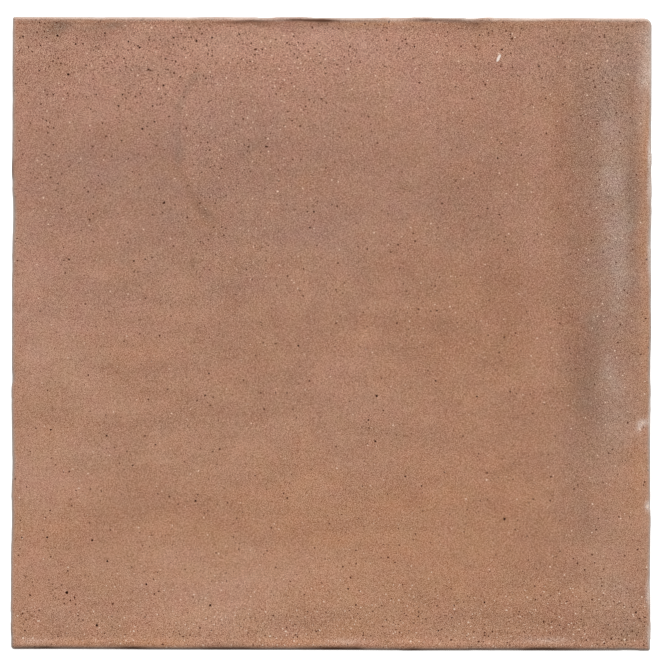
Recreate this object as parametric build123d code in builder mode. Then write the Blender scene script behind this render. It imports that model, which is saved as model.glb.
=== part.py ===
"""A square floor tile of pressed porcelain stoneware, made to look like an old hand-made terracotta tile.

It is one fired piece. It lies on its back, face up, with the origin under its middle, +Z up, in millimetres.
The edges wander as those of hand-cut clay do, a low lip runs round the worn face, and the back has shallow
keying pockets for the adhesive.
"""

from build123d import *
from math import cos, pi, sin
import os

# Size of the fired tile, between the straight lines that its edges wander about.
tile_length = 200.0
tile_width = 198.0
tile_thickness = 9.0

# Edge section, from the back up to the worn face.
back_bevel_width = 0.7
back_bevel_height = 0.8
wall_draft = 0.45
arris_width = 0.9
arris_height = 1.1
crest_width = 0.6
lip_height = 0.3
lip_slope_width = 2.0
arris_steps = 4

# How far each edge wanders out (+) or in (-) from a straight line, at even stations along the side.
# Each list runs counter-clockwise round the tile, seen from above.
front_waves = [-0.08, -0.06, 0, 0.05, 0.05, 0.05, 0.04, 0.03, 0.06, 0.13, 0, 0, 0.03, 0.02, -0.1]
right_waves = [0.14, -0.08, 0.1, -0.06, -0.15, -0.04, -0.13, 0.1, 0, -0.05, 0.12, 0.08, -0.02, 0.04, 0.02]
rear_waves = [-0.05, 0.08, -0.1, 0.1, 0, 0.1, -0.1, -0.08, 0.21, 0, 0.12, -0.08, -0.05, -0.05, -0.01]
left_waves = [0.12, 0.03, 0.08, 0.12, -0.3, -0.06, 0.01, 0.07, -0.04, 0.1, -0.25, -0.06, -0.13, 0.15, 0.16]

# The foot of the wall was formed by the mould, so it wanders less than the top of the edge.
foot_wave_share = 0.6

# How much wider (+) or narrower (-) the inner slope of the lip is at even stations, as a share of its width.
front_lip_shares = [0.2, 0.45, 0.55, 0.3, 0.4, 0.15, 0.25]
right_lip_shares = [0.5, 0.1, -0.15, -0.25, -0.05, 0.35, 0.8]
rear_lip_shares = [0.0, 0.65, 0.95, 0.6, 0.0, -0.25, -0.2]
left_lip_shares = [-0.2, -0.3, -0.1, -0.25, -0.35, -0.2, -0.1]

# Plan radius of each corner. Three are nearly sharp and one was knocked round before firing.
front_left_corner_radius = 1.1
front_right_corner_radius = 0.8
rear_right_corner_radius = 2.4
rear_left_corner_radius = 0.8
face_corner_radius = 3.0

# Keying pockets in the back: shallow and drafted, with ribs between them and a plain border round them.
# Their counts are even, so two ribs cross under the middle of the tile.
pockets_along = 12
pockets_across = 12
pocket_depth = 0.9
pocket_draft_angle = 25.0
rib_width = 3.0
border_width = 8.5


# The rounded arris ends at the outer line of the crest, and the slope of the lip ends at the face.
crest_inset = wall_draft + arris_width
face_inset = crest_inset + crest_width + lip_slope_width
face_height = tile_thickness - lip_height

# The sides in the order front, right, rear and left, and the corner that each one starts from.
edge_waves = [front_waves, right_waves, rear_waves, left_waves]
lip_shares = [front_lip_shares, right_lip_shares, rear_lip_shares, left_lip_shares]
outer_corner_radii = [
    front_left_corner_radius,
    front_right_corner_radius,
    rear_right_corner_radius,
    rear_left_corner_radius,
]
corner_signs = [(-1, -1), (1, -1), (1, 1), (-1, 1)]
side_directions = [Vector(1, 0), Vector(0, 1), Vector(-1, 0), Vector(0, -1)]


def edge_line(start, end, outward, waves, share):
    """Points along one side: its two ends, and even stations between them moved outward by their wave."""
    spaces = len(waves) + 1
    line = [start]
    for station, wave in enumerate(waves, start=1):
        line.append(start + (end - start) * (station / spaces) + outward * (wave * share))
    line.append(end)
    return line


def section_rows():
    """The edge section from the back up to the lip, as rows of height, inset and share of the wander."""
    wall_top = tile_thickness - arris_height
    rows = [(0.0, back_bevel_width, foot_wave_share), (back_bevel_height, 0.0, foot_wave_share)]
    for step in range(arris_steps + 1):
        turn = pi / 2 * step / arris_steps
        rows.append((wall_top + arris_height * sin(turn), crest_inset - arris_width * cos(turn), 1.0))
    rows.append((tile_thickness, crest_inset + crest_width, 1.0))
    return rows


def outline_sides(inset, waves, share, radii):
    """The points of the four wandering sides at one level, each from one corner's arc to the next one's."""
    half_length = tile_length / 2 - inset
    half_width = tile_width / 2 - inset
    corners = [Vector(x * half_length, y * half_width) for x, y in corner_signs]
    sides = []
    for side, direction in enumerate(side_directions):
        following = (side + 1) % 4
        start = corners[side] + direction * radii[side]
        end = corners[following] - direction * radii[following]
        outward = Vector(direction.Y, -direction.X)
        sides.append(edge_line(start, end, outward, waves[side], share))
    return sides


# Every level of the skin as its height and its four sides. The last is the line where the lip meets the face,
# which moves inward as the slope of the lip widens.
levels = []
for height, inset, share in section_rows():
    levels.append((height, outline_sides(inset, edge_waves, share, outer_corner_radii)))
face_sides = outline_sides(face_inset, lip_shares, -lip_slope_width, [face_corner_radius] * 4)
levels.append((face_height, face_sides))

# The pockets fill the back inside the border, with the ribs left between them.
pocket_length = (tile_length - 2 * border_width - (pockets_along - 1) * rib_width) / pockets_along
pocket_width = (tile_width - 2 * border_width - (pockets_across - 1) * rib_width) / pockets_across
pitch_along = pocket_length + rib_width
pitch_across = pocket_width + rib_width

with BuildPart() as tile:
    # One skin from the back, up the drafted wall, over the rounded arris and the lip, and down to the face.
    for height, sides in levels:
        with BuildSketch(Plane.XY.offset(height)):
            with BuildLine():
                for side, points in enumerate(sides):
                    direction = side_directions[side]
                    Spline(*points, tangents=[direction, direction])
                    TangentArc(points[-1], sides[(side + 1) % 4][0], tangent=direction)
            make_face()
    loft(ruled=True)

    # Keying pockets, drafted so that the press lets go of them.
    with BuildSketch():
        with GridLocations(pitch_along, pitch_across, pockets_along, pockets_across):
            Rectangle(pocket_length, pocket_width)
    extrude(amount=pocket_depth, taper=pocket_draft_angle, mode=Mode.SUBTRACT)

tile.part.label = "tile"
print("each pocket", round(pocket_length, 2), "by", round(pocket_width, 2), "mm")
print("tile", round(tile.part.volume), "cubic mm,", len(tile.part.faces()), "faces, valid", tile.part.is_valid)
os.makedirs("parts", exist_ok=True)
export_step(tile.part, "parts/tile.step")
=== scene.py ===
# %% [markdown]
# # A floor tile with a terracotta look
#
# The real object is one piece of pressed porcelain stoneware, about 20 cm square and 9 mm thick. Its printed
# face imitates an old hand-made terracotta tile: a warm brown-pink ground with clouds of rose, orange and
# kiln smoke, a whitish bloom near one side, a fine sandy grain, two hundred pinholes, and edges that wander
# and stand up as a low lip. Here that skin is one closed mesh worked out with numpy, and one material made
# of nodes.
#
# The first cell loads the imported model, which fixes where the tile lies and how big it is.

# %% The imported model
import bpy
import math
import numpy as np
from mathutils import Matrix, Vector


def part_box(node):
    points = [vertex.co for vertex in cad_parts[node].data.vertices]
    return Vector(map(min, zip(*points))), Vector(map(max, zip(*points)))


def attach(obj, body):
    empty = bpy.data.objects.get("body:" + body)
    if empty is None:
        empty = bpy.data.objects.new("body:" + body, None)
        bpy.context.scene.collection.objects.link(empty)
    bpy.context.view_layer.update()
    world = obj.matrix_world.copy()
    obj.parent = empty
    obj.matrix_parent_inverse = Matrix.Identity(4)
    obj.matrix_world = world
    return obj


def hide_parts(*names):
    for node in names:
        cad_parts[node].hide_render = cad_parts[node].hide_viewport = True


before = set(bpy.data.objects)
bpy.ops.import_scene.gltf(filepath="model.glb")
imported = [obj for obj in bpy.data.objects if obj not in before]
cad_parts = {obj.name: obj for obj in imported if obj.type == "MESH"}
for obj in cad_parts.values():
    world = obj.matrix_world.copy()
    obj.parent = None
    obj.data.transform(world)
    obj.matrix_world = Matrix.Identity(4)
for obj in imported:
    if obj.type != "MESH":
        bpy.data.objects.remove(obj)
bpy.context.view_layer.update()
tile_low, tile_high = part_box("tile")
print("the packed tile reaches from", tuple(tile_low), "to", tuple(tile_high))

# %% [markdown]
# ## Sizes
#
# Blender works in metres, and a tile maker thinks in millimetres, so sizes are written as a number times
# `mm`. The outline, the corners, the bevel and the pockets are those of the solid model, because the dressed
# tile has to lie exactly in its place. The arris and the crest of the lip are a little tighter than in the
# solid, as the photograph shows them.

# %% Sizes of the tile
mm = 0.001
thickness = tile_high.z - tile_low.z
length = 200 * mm
width = 198 * mm

wall_draft = 0.45 * mm
arris_width = 0.6 * mm
arris_height = 1.1 * mm
crest_width = 0.35 * mm
lip_height = 0.3 * mm
lip_slope_width = 2.0 * mm
back_bevel_width = 0.7 * mm
back_bevel_height = 0.8 * mm
foot_wander_share = 0.6

corner_signs = [(-1, -1), (1, -1), (1, 1), (-1, 1)]
corner_radii = [1.1 * mm, 0.8 * mm, 2.4 * mm, 0.8 * mm]

pockets = 12
pocket_depth = 0.9 * mm
pocket_draft = math.radians(25)
pocket_draft_run = pocket_depth * math.tan(pocket_draft)
rib_width = 3.0 * mm
border_width = 8.5 * mm
print("thickness", round(thickness / mm, 3), "mm, pocket walls lean", round(pocket_draft_run / mm, 2), "mm")

# %% [markdown]
# ## Edges that wander
#
# A hand-cut clay tile has no straight side. Each edge here follows a short list of offsets at even stations,
# in millimetres outward, read from the photograph and shared with the solid model. A second list says how
# much wider or narrower the inner slope of the lip is. Between stations the edge is a smooth cubic, because
# clay has no kinks. The lists run counter-clockwise round the tile, seen from above, starting at the front
# left corner.

# %% Wander of the four edges
front_waves = [-0.08, -0.06, 0, 0.05, 0.05, 0.05, 0.04, 0.03, 0.06, 0.13, 0, 0, 0.03, 0.02, -0.1]
right_waves = [0.14, -0.08, 0.1, -0.06, -0.15, -0.04, -0.13, 0.1, 0, -0.05, 0.12, 0.08, -0.02, 0.04, 0.02]
rear_waves = [-0.05, 0.08, -0.1, 0.1, 0, 0.1, -0.1, -0.08, 0.21, 0, 0.12, -0.08, -0.05, -0.05, -0.01]
left_waves = [0.12, 0.03, 0.08, 0.12, -0.3, -0.06, 0.01, 0.07, -0.04, 0.1, -0.25, -0.06, -0.13, 0.15, 0.16]
edge_waves = [front_waves, right_waves, rear_waves, left_waves]

front_lip_shares = [0.2, 0.45, 0.55, 0.3, 0.4, 0.15, 0.25]
right_lip_shares = [0.5, 0.1, -0.15, -0.25, -0.05, 0.35, 0.8]
rear_lip_shares = [0.0, 0.65, 0.95, 0.6, 0.0, -0.25, -0.2]
left_lip_shares = [-0.2, -0.3, -0.1, -0.25, -0.35, -0.2, -0.1]
lip_shares = [front_lip_shares, right_lip_shares, rear_lip_shares, left_lip_shares]


def through_stations(values, t):
    """A smooth curve through values at even stations from t = 0 to t = 1, as in a Catmull-Rom spline.

    Between two stations it is the cubic that passes through both, with a slope at each of half the step
    between that station's neighbours.
    """
    padded = np.concatenate([values[:1], values, values[-1:]]).astype(float)
    place = np.clip(t, 0, 1) * (len(values) - 1)
    station = np.minimum(place.astype(int), len(values) - 2)
    f = place - station
    a, b, c, d = (padded[station + k] for k in range(4))
    return b + 0.5 * f * (c - a + f * (2 * a - 5 * b + 4 * c - d + f * (3 * (b - c) + d - a)))


# %% [markdown]
# ## Flakes
#
# Small flakes came off three of the edges and others stand proud, each only a tenth or two of a millimetre.
# They make the outline look torn, not cut. Each is where it begins and ends, in millimetres from the middle
# of the side towards +X or +Y, and how far it stands out or in. The front edge was wiped smooth and has
# almost none.

# %% Flakes along the edges
front_flakes = [(22, 44, 0.1), (91, 97, -0.16)]
right_flakes = [
    (-97, -91, 0.22), (-81, -77, -0.16), (-61, -57, 0.12), (-55, -52, -0.1), (-36, -24, -0.1),
    (-19, -15, 0.16), (-13, -4, -0.1), (-1, 8, 0.1), (13, 21, 0.12), (28, 35, -0.18), (39, 41.5, 0.14),
    (45, 49, 0.12), (55, 58.5, 0.2), (67, 69, -0.15),
]
rear_flakes = [
    (-74.5, -71, -0.16), (-63, -53, 0.1), (-45, -41, -0.12), (-36, -31, 0.1), (-22.5, -17, -0.24),
    (-10, -7, 0.15), (-5, -3, -0.18), (16.5, 19, 0.12), (26, 33, 0.18), (43, 47.5, -0.3), (49, 53, 0.18),
    (55, 59, 0.13), (63, 70, -0.08),
]
left_flakes = [
    (-96, -91.5, 0.12), (-89, -85.5, 0.18), (-73, -67, 0.16), (-62.5, -57, -0.08), (-53, -51, 0.1),
    (-47, -39.5, -0.16), (-21, -17, 0.14), (-16.5, -13, -0.2), (14, 18.5, 0.1), (23, 25, 0.12),
    (31.5, 43, -0.14), (46.5, 49, -0.12), (49.5, 55, 0.16),
]
edge_flakes = [front_flakes, right_flakes, rear_flakes, left_flakes]
print(sum(len(flakes) for flakes in edge_flakes), "flakes along the four edges")

# %% [markdown]
# ## Rolling noise
#
# Clay that was pressed, wiped and worn is never flat. The cheapest honest way to get such relief is value
# noise: random heights on a coarse lattice, joined by a smooth step, and summed at a few wave lengths. Every
# lattice has a fixed seed, so the tile comes out the same each time.

# %% Rolling noise
# Metres that a lattice covers, a little more than the tile.
noise_span = 0.24


def ease(t):
    """The smooth step 6t^5 - 15t^4 + 10t^3, which leaves 0 and reaches 1 with no slope and no curvature."""
    t = np.clip(t, 0, 1)
    return t * t * t * (t * (t * 6 - 15) + 10)


def rolling(x, y, wave, seed):
    """Noise from -1 to 1 over the plan: random heights on a square lattice one wave apart, eased between."""
    cells = int(noise_span / wave) + 3
    lattice = np.random.default_rng(seed).uniform(-1, 1, (cells + 1, cells + 1))
    u = np.clip(x / wave + cells / 2, 0, cells - 1e-6)
    v = np.clip(y / wave + cells / 2, 0, cells - 1e-6)
    column, row = u.astype(int), v.astype(int)
    fu, fv = ease(u - column), ease(v - row)
    near = lattice[row, column] * (1 - fu) + lattice[row, column + 1] * fu
    far = lattice[row + 1, column] * (1 - fu) + lattice[row + 1, column + 1] * fu
    return near * (1 - fv) + far * fv


# A flake's end is a step this long, in millimetres. Flakes and ragged parts die away in this share of a side,
# towards each corner. The front edge was wiped smooth, so it is less ragged. Flakes are given towards +X and
# +Y, but the rear and left sides run the other way.
flake_end = 0.9
calm_share = 0.02
ragged_shares = (0.4, 1, 1, 1)
side_senses = (1, 1, -1, -1)


def edge_wander(side, t):
    """How far an edge stands out of its straight line at share t of its length.

    It is the sum of the wander, the flakes and a ragged part, which is rolling noise 4 mm and 1.8 mm long,
    read along a line of its own for each side.
    """
    broad = through_stations([0, *edge_waves[side], 0], t)
    along = (t - 0.5) * length / mm * side_senses[side]
    flaked = np.zeros_like(along)
    for start, end, stands_out in edge_flakes[side]:
        flaked += stands_out * ease((along - start) / flake_end + 0.5) * ease((end - along) / flake_end + 0.5)
    line = np.full_like(along, side * 20 * mm - 30 * mm)
    ragged = 0.04 * rolling(along * mm, line, 4 * mm, 11) + 0.04 * rolling(along * mm, line, 1.8 * mm, 12)
    ragged = ragged * ragged_shares[side]
    return (broad + (flaked + ragged) * ease(t / calm_share) * ease((1 - t) / calm_share)) * mm


sample = edge_wander(3, np.linspace(0, 1, 9)) / mm
print("left edge, every eighth of its length, mm:", np.round(sample, 2))

# %% [markdown]
# ## The skin of the face, as one grid
#
# The face is a grid of lines that run from edge to edge in both directions. Near an edge the lines are rings
# at the places where the section turns: up the rounded arris, over the crest of the lip and down its inner
# slope. Between the feet of the two slopes they are even, a little under a millimetre apart. A vertex takes
# its height from the ring that it lies on, so lip and arris run round the tile unbroken, and the corners
# mitre by themselves.

# %% Rings of the edge section
arris_steps = 5
crest_steps = 2
slope_steps = 5
face_cells = 212

arris_turn = np.linspace(0, math.pi / 2, arris_steps + 1)
crest_share = np.linspace(0, 1, crest_steps + 1)[1:]
slope_fall = np.linspace(0, 1, slope_steps + 1)[1:]
crest_inset = wall_draft + arris_width

ring_inset = np.concatenate([
    wall_draft + arris_width * (1 - np.cos(arris_turn)),
    crest_inset + crest_width * crest_share,
    np.full(slope_steps, crest_inset + crest_width),
])
ring_slope = np.concatenate([np.zeros(arris_steps + crest_steps + 1), slope_fall])
ring_height = thickness + np.concatenate([
    arris_height * (np.sin(arris_turn) - 1),
    np.zeros(crest_steps),
    -lip_height * ease(slope_fall),
])
rim = len(ring_inset) - 1
lines = 2 * rim + face_cells + 1
rings_from_edge = np.minimum(np.arange(lines), np.arange(lines)[::-1])
ring = np.minimum(rings_from_edge, rim)
across_face = np.clip((np.arange(lines) - rim) / face_cells, 0, 1)
print(rim + 1, "rings,", lines, "lines each way")


# %% [markdown]
# A side's foot line moves in where the slope widens, and the edge's wander fades out down that slope. So the
# place of a grid line is worked out from both of the edges that it runs between: `from_low` is the place
# measured from the left or front edge, `from_high` from the right or rear one, and the share across the face
# blends the two.

# %% Plan of the grid
def straight_places(span):
    """Places of the grid lines along a side, as if both edges were straight and the slopes evenly wide."""
    inset = ring_inset[ring] + ring_slope[ring] * lip_slope_width
    return (inset - span / 2) * (1 - across_face) + (span / 2 - inset) * across_face


def side_share(places, span, first_radius, last_radius):
    """Share of the way along a side, from the end of one corner's arc to the start of the next one's."""
    return np.clip((places + span / 2 - first_radius) / (span - first_radius - last_radius), 0, 1)


def ring_places(side, t):
    """How far each ring lies from the side's straight line: rows are shares t, columns are rings."""
    widening = 1 + through_stations(lip_shares[side], t)
    wander = edge_wander(side, t)
    kept = 1 - ease(ring_slope)
    slope = ring_slope[None, :] * lip_slope_width * widening[:, None]
    return ring_inset[None, :] + slope - wander[:, None] * kept[None, :]


x_lines = straight_places(length)
y_lines = straight_places(width)
front_left, front_right, rear_right, rear_left = corner_radii
t_front = side_share(x_lines, length, front_left, front_right)
t_right = side_share(y_lines, width, front_right, rear_right)
t_rear = 1 - side_share(x_lines, length, rear_left, rear_right)
t_left = 1 - side_share(y_lines, width, front_left, rear_left)

from_low = ring_places(3, t_left)[:, ring] - length / 2
from_high = length / 2 - ring_places(1, t_right)[:, ring]
plan_x = from_low * (1 - across_face) + from_high * across_face
from_low = ring_places(0, t_front)[:, ring] - width / 2
from_high = width / 2 - ring_places(2, t_rear)[:, ring]
plan_y = (from_low * (1 - across_face) + from_high * across_face).T
print("cells of the face are", round((x_lines[rim + 1] - x_lines[rim]) / mm, 2), "mm wide")


# %% [markdown]
# ## Rounded corners
#
# The grid's corners are square so far. The real tile's are nearly sharp, and one was knocked round. The
# elliptical map of a square onto a disc bends the outer lines into an arc and leaves the rest of the grid
# where it is.

# %% Rounding the corners
def round_corners(x, y, inset):
    """Rounds the plan's four corners.

    In the square of one radius at a corner, a point at shares s and t of the radius moves to
    s * sqrt(1 - t^2 / 2) and t * sqrt(1 - s^2 / 2), which carries the two outer sides onto a quarter circle.
    """
    for (sign_x, sign_y), radius in zip(corner_signs, corner_radii):
        s = np.maximum((x * sign_x - (length / 2 - inset - radius)) / radius, 0)
        t = np.maximum((y * sign_y - (width / 2 - inset - radius)) / radius, 0)
        move_x = radius * s * (np.sqrt(np.maximum(1 - t * t / 2, 0)) - 1)
        move_y = radius * t * (np.sqrt(np.maximum(1 - s * s / 2, 0)) - 1)
        x = x + sign_x * move_x
        y = y + sign_y * move_y
    return x, y


plan_x, plan_y = round_corners(plan_x, plan_y, wall_draft)
ring_of = np.minimum(np.minimum(rings_from_edge[:, None], rings_from_edge[None, :]), rim)

# %% [markdown]
# ## Relief of the face
#
# Old clay tiles dip and roll by a tenth of a millimetre or so. Long waves give the lazy gloss, short ones
# the worn look. The lip is uneven too: its crest rises and sinks, and a few broad lumps and dips lie in it,
# given as right, up, reach and rise. None of this starts before the arris, so the wall below keeps its clean
# line.

# %% Height of the face
crest_ring = arris_steps + crest_steps
relief = (
    0.05 * rolling(plan_x, plan_y, 46 * mm, 21)
    + 0.03 * rolling(plan_x, plan_y, 17 * mm, 22)
    + 0.016 * rolling(plan_x, plan_y, 7 * mm, 23)
    + 0.008 * rolling(plan_x, plan_y, 3 * mm, 24)
) * mm
on_lip = np.clip(1 - np.abs(ring_of - crest_ring) / slope_steps, 0, 1)
lip_unevenness = (
    0.05 * rolling(plan_x, plan_y, 11 * mm, 25)
    + 0.04 * rolling(plan_x, plan_y, 4 * mm, 26)
) * mm
lip_lumps = [
    (-92, -98, 9, 0.12), (-34, -98, 6, 0.12), (5, -98, 8, 0.12), (25, -98, 5, 0.12), (67, -98, 9, 0.12),
    (-15, 98, 18, 0.12), (38, 98, 12, 0.12), (-72, 98, 28, -0.2), (76, 98, 22, -0.16),
]
# How far a lump reaches across the lip, in millimetres, and how high the lip may stand over the solid.
lump_depth = 6
highest_rise = 0.2 * mm
for right, up, reach, rise in lip_lumps:
    lump = np.exp(-((plan_x / mm - right) / reach) ** 2 - ((plan_y / mm - up) / lump_depth) ** 2)
    lip_unevenness = lip_unevenness + rise * mm * lump
grown = ease(ring_of / arris_steps)
height = ring_height[ring_of] + relief * grown + lip_unevenness * on_lip * grown
height = np.minimum(height, thickness + highest_rise)
print("the face lies", round((thickness - height[lines // 2, lines // 2]) / mm, 2), "mm below the lip")

# %% [markdown]
# ## Pinholes
#
# Gas that leaves the clay in the kiln opens pinholes. The biggest ones are listed where the photograph shows
# them, as millimetres right and up from the middle and their radius. The others are strewn at random, more of
# them near the rear edge and along the front, as in the photograph. Bump alone would look painted on, so each
# hole is real: the four cells round a grid vertex are taken out, and three rings of eight vertices lead down
# to that vertex, which becomes the floor of the hole.

# %% Places of the pinholes
pinholes_by_hand = [
    (-87.5, -29.8, 0.35), (-70.1, -31.7, 0.35), (-54.8, -34.5, 0.3), (-62, -41, 0.35),
    (-42.3, -52.1, 0.4), (-97.1, -63.4, 0.35), (-88.6, -63.4, 0.4), (-74.5, -64.3, 0.4),
    (-69.8, -70.9, 0.4), (-82.4, -80.6, 0.6), (-57.6, -78.1, 0.4), (-73, -90.9, 0.5),
    (-37.6, -84.7, 0.45), (-38.2, -12.3, 0.35), (-39.4, -19.2, 0.35), (-71.7, -49, 0.3),
    (-10.3, -3.8, 0.4), (14.1, -19.5, 0.5), (32.6, -14.8, 0.35), (45.5, -19.8, 0.35), (11.6, -27, 0.35),
    (13.8, -33.6, 0.4), (23.2, -44.6, 0.35), (54.2, -58, 0.45), (95.4, -87.3, 0.4), (33.6, -92.8, 0.35),
    (5.4, -79.7, 0.35), (48, -84, 0.35), (-85.8, 93.3, 0.45), (-60.1, 89.5, 0.4), (-82.4, 81.1, 0.5),
    (-63.6, 91.4, 0.4), (-42.3, 91.5, 0.45), (-55.4, 66.3, 0.35), (-59.2, 64.1, 0.4), (-52.3, 41, 0.45),
    (-56, 37.2, 0.3), (-61.7, 22.8, 0.35), (-58.2, 23.4, 0.35), (-20.6, 58.5, 0.35), (-5.6, 38.1, 0.4),
    (-6.8, 33.1, 0.35), (-82, 23.4, 0.35), (-65.7, 60.4, 0.3), (25.7, 89.5, 0.35), (53, 88.6, 0.4),
    (64.6, 83.3, 0.4), (51.7, 54.7, 0.35), (32.9, 7.1, 0.3), (-57.3, 82.6, 0.4), (-52, 86, 0.35),
    (-52.6, 77.6, 0.4), (-65.4, 74.8, 0.35), (-59.8, 75.1, 0.35), (-56, 71.3, 0.35), (-66.7, 71.3, 0.35),
    (-75.4, 70.3, 0.3), (-73.6, 74.8, 0.3), (-87, 74.8, 0.35), (-83.6, 77.9, 0.25), (-91.4, 82.3, 0.35),
    (-91.1, 90.2, 0.3), (-80.1, 90.6, 0.35), (-74.5, 37.6, 0.3), (-66.7, 37.6, 0.25), (-87, 59.2, 0.3),
    (-89.2, 66.7, 0.3), (-78.9, 53.5, 0.25), (-85.5, 47, 0.3), (-72.9, 49.6, 0.3), (-60.1, 49.8, 0.25),
    (-49.5, 92.5, 0.35), (-37.5, 92.5, 0.4), (-29, 93.5, 0.35), (-71, 94, 0.35), (17, 91.6, 0.3),
    (69, 89.5, 0.3), (46, 94, 0.3), (-96.5, 93, 0.35),
]
hand_x, hand_y, hand_r = (np.array(column) * mm for column in zip(*pinholes_by_hand))
# The photograph is turned a little, so a place read off it is raised by this share of its x.
photo_turn = 0.005
hand_y = hand_y + photo_turn * hand_x

nearest = [np.hypot(plan_x - x, plan_y - y).argmin() for x, y in zip(hand_x, hand_y)]
hand_row, hand_column = np.clip(np.unravel_index(nearest, plan_x.shape), rim + 1, lines - rim - 2)
guard = 3
taken = np.zeros((lines, lines), bool)
for row, column in zip(hand_row, hand_column):
    taken[row - guard : row + guard + 1, column - guard : column + guard + 1] = True

strewn_wanted = 130
chance = np.random.default_rng(31)
every_other = np.arange(rim + guard, lines - rim - guard, 2)
rows, columns = (grid.ravel() for grid in np.meshgrid(every_other, every_other, indexing="ij"))
free = ~taken[rows, columns]
rows, columns = rows[free], columns[free]
# Places are likelier in the rear 38% and the front 20% of the tile, and most of all near those edges.
up_share = plan_y[rows, columns] / width + 0.5
near_rear = ease((up_share - 0.62) / 0.38)
near_front = ease((0.2 - up_share) / 0.2)
likely = 0.25 + 1.6 * near_rear + 0.9 * near_front
chosen = chance.choice(len(rows), strewn_wanted, replace=False, p=likely / likely.sum())
hole_row = np.concatenate([hand_row, rows[chosen]])
hole_column = np.concatenate([hand_column, columns[chosen]])

# A hole looks a little wider in the photograph than it is. The strewn ones are small, most near the low end.
hand_radius_share = 0.9
strewn_radius = (0.12 + 0.15 * chance.random(strewn_wanted) ** 2) * mm
hole_radius = np.concatenate([hand_r * hand_radius_share, strewn_radius])
print(len(hole_row), "pinholes,", len(hand_row), "of them placed by hand")

# %% [markdown]
# A hole's centre may leave its vertex by up to 0.4 mm each way, so that the holes don't stand in rows. Its
# rim is an uneven octagon in the face, and two more rings go down inside it.

# %% Rings of the pinholes
holes = len(hole_row)
corner_steps = np.array([(-1, -1), (-1, 0), (-1, 1), (0, 1), (1, 1), (1, 0), (1, -1), (0, -1)])
spokes = len(corner_steps)
block_rows = hole_row[:, None] + corner_steps[:, 0]
block_columns = hole_column[:, None] + corner_steps[:, 1]
block = block_rows * lines + block_columns

hole_shift = 0.4 * mm
depth_share = 0.9
centre_x = plan_x[hole_row, hole_column]
centre_y = plan_y[hole_row, hole_column]
strewn_x = centre_x[len(hand_x):] + chance.uniform(-1, 1, strewn_wanted) * hole_shift
strewn_y = centre_y[len(hand_y):] + chance.uniform(-1, 1, strewn_wanted) * hole_shift
hole_x = centre_x + np.clip(np.concatenate([hand_x, strewn_x]) - centre_x, -hole_shift, hole_shift)
hole_y = centre_y + np.clip(np.concatenate([hand_y, strewn_y]) - centre_y, -hole_shift, hole_shift)
hole_z = height[hole_row, hole_column]
hole_depth = hole_radius * depth_share

spoke = np.arctan2(corner_steps[:, 0], corner_steps[:, 1])[None, :]
uneven = 1 + 0.22 * chance.uniform(-1, 1, (holes, spokes))
# Each ring as its share of the hole's radius and of its depth.
ring_shares = [(1, 0), (0.82, 0.45), (0.45, 0.95)]
hole_rings = []
for reach, sink in ring_shares:
    radius = hole_radius[:, None] * reach * uneven
    ring_x = hole_x[:, None] + radius * np.cos(spoke)
    ring_y = hole_y[:, None] + radius * np.sin(spoke)
    ring_z = np.broadcast_to((hole_z - hole_depth * sink)[:, None], radius.shape)
    hole_rings.append(np.stack([ring_x, ring_y, ring_z], -1))
plan_x[hole_row, hole_column] = hole_x
plan_y[hole_row, hole_column] = hole_y
height[hole_row, hole_column] = hole_z - hole_depth
narrowest, widest = 2 * hole_radius.min() / mm, 2 * hole_radius.max() / mm
print("holes are", round(narrowest, 2), "to", round(widest, 2), "mm wide")

# %% [markdown]
# ## Wall and bevel
#
# Below the arris the wall leans out a little, because the mould has draft, and it wanders less towards its
# foot. A small bevel takes it under to the back. Each level is one loop round the tile with as many vertices
# as the face's outer ring, so the two meet vertex to vertex.

# %% Loops of the wall
last = lines - 1
walk = np.arange(last)
loop_row = np.concatenate([0 * walk, walk, last + 0 * walk, last - walk])
loop_column = np.concatenate([walk, last + 0 * walk, last - walk, 0 * walk])
loop_side = np.repeat(np.arange(4), last)
outward = np.array([(0, -1), (1, 0), (0, 1), (-1, 0)])[loop_side]
loop_wander = np.concatenate([
    edge_wander(0, t_front)[:-1],
    edge_wander(1, t_right)[:-1],
    edge_wander(2, t_rear)[::-1][:-1],
    edge_wander(3, t_left)[::-1][:-1],
])


def wall_loop(inset, share, level):
    """One level of the wall: the rectangle at that inset, with a share of the wander, corners rounded."""
    x = x_lines[loop_column] * (length / 2 - inset) / (length / 2 - wall_draft)
    y = y_lines[loop_row] * (width / 2 - inset) / (width / 2 - wall_draft)
    x = x + outward[:, 0] * loop_wander * share
    y = y + outward[:, 1] * loop_wander * share
    x, y = round_corners(x, y, inset)
    return np.stack([x, y, np.full_like(x, level)], -1)


wall_steps = 6
wall_loops = []
for down in np.linspace(0, 1, wall_steps + 1)[1:]:
    level = (thickness - arris_height) * (1 - down) + back_bevel_height * down
    share = 1 - down + foot_wander_share * down
    wall_loops.append(wall_loop(wall_draft * (1 - down), share, level))
# A level in the bevel that stands a little proud of its slant rounds it.
wall_loops.append(wall_loop(back_bevel_width * 0.35, foot_wander_share, back_bevel_height * 0.4))
wall_loops.append(wall_loop(back_bevel_width, foot_wander_share, 0))
print(len(wall_loops), "loops of", len(loop_row), "vertices under the face")

# %% [markdown]
# ## The keyed back
#
# Pressed tiles have shallow pockets in the back, so that adhesive keys into them. Their walls lean, so that
# the press lets go, and their corners are round. The back is a second grid, coarser than the face, whose
# lines lie exactly on the crown of the ribs, the pocket's rim, the foot of its wall and its middle, so 144
# pockets stay cheap.

# %% Grid of the back
# Lines in the border, from the tile's side, and how far a line lies past a pocket's wall, on the rib and on
# the pocket's floor.
border_places = np.array([2, 5]) * mm
rib_line = 0.3 * mm
floor_line = 0.4 * mm


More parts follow.
